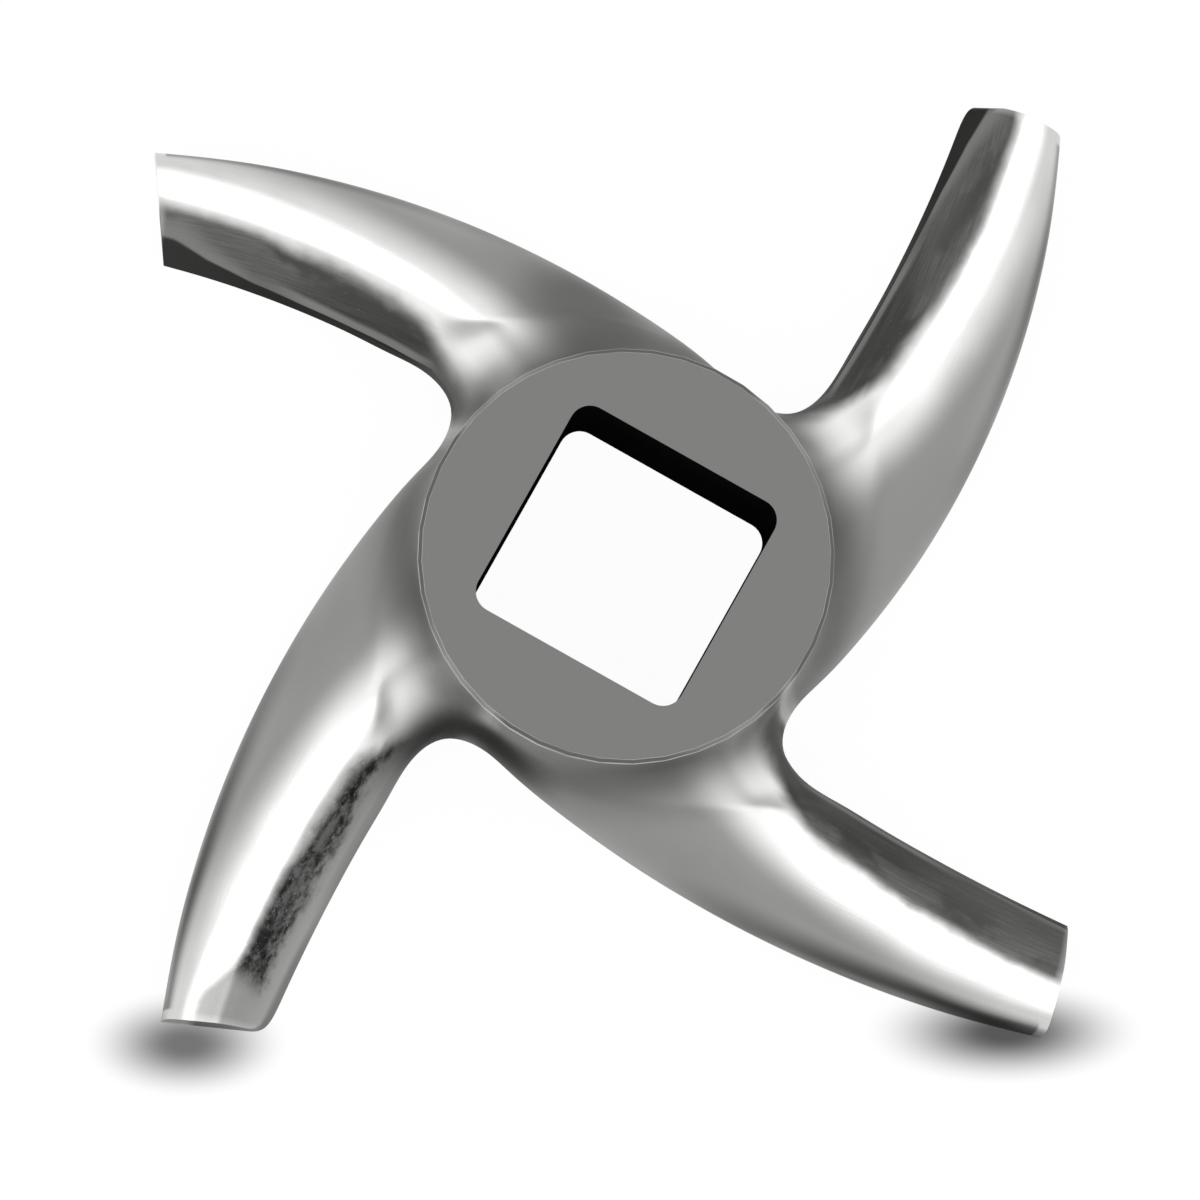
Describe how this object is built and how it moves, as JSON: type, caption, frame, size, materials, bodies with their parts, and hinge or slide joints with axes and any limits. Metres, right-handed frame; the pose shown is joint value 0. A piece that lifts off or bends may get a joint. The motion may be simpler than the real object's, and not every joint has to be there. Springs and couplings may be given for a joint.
{
  "type": "meat grinder knife",
  "caption": "Cast stainless meat grinder knife: swept, rounded arms with a ground cutting edge round a round hub with a square drive hole.",
  "frame": {"origin": "centre of the square hole's axis on the ground cutting plane", "axes": "+Z along the hole's axis towards the hub's proud face; X and Y square to the hole's sides"},
  "size_m": [0.0749, 0.0745, 0.014],
  "materials": {
    "steel": "polished casting with a ground hub face and a ground cutting plane"
  },
  "bodies": {
    "root": {"knife": "steel"}
  },
  "joints": []
}
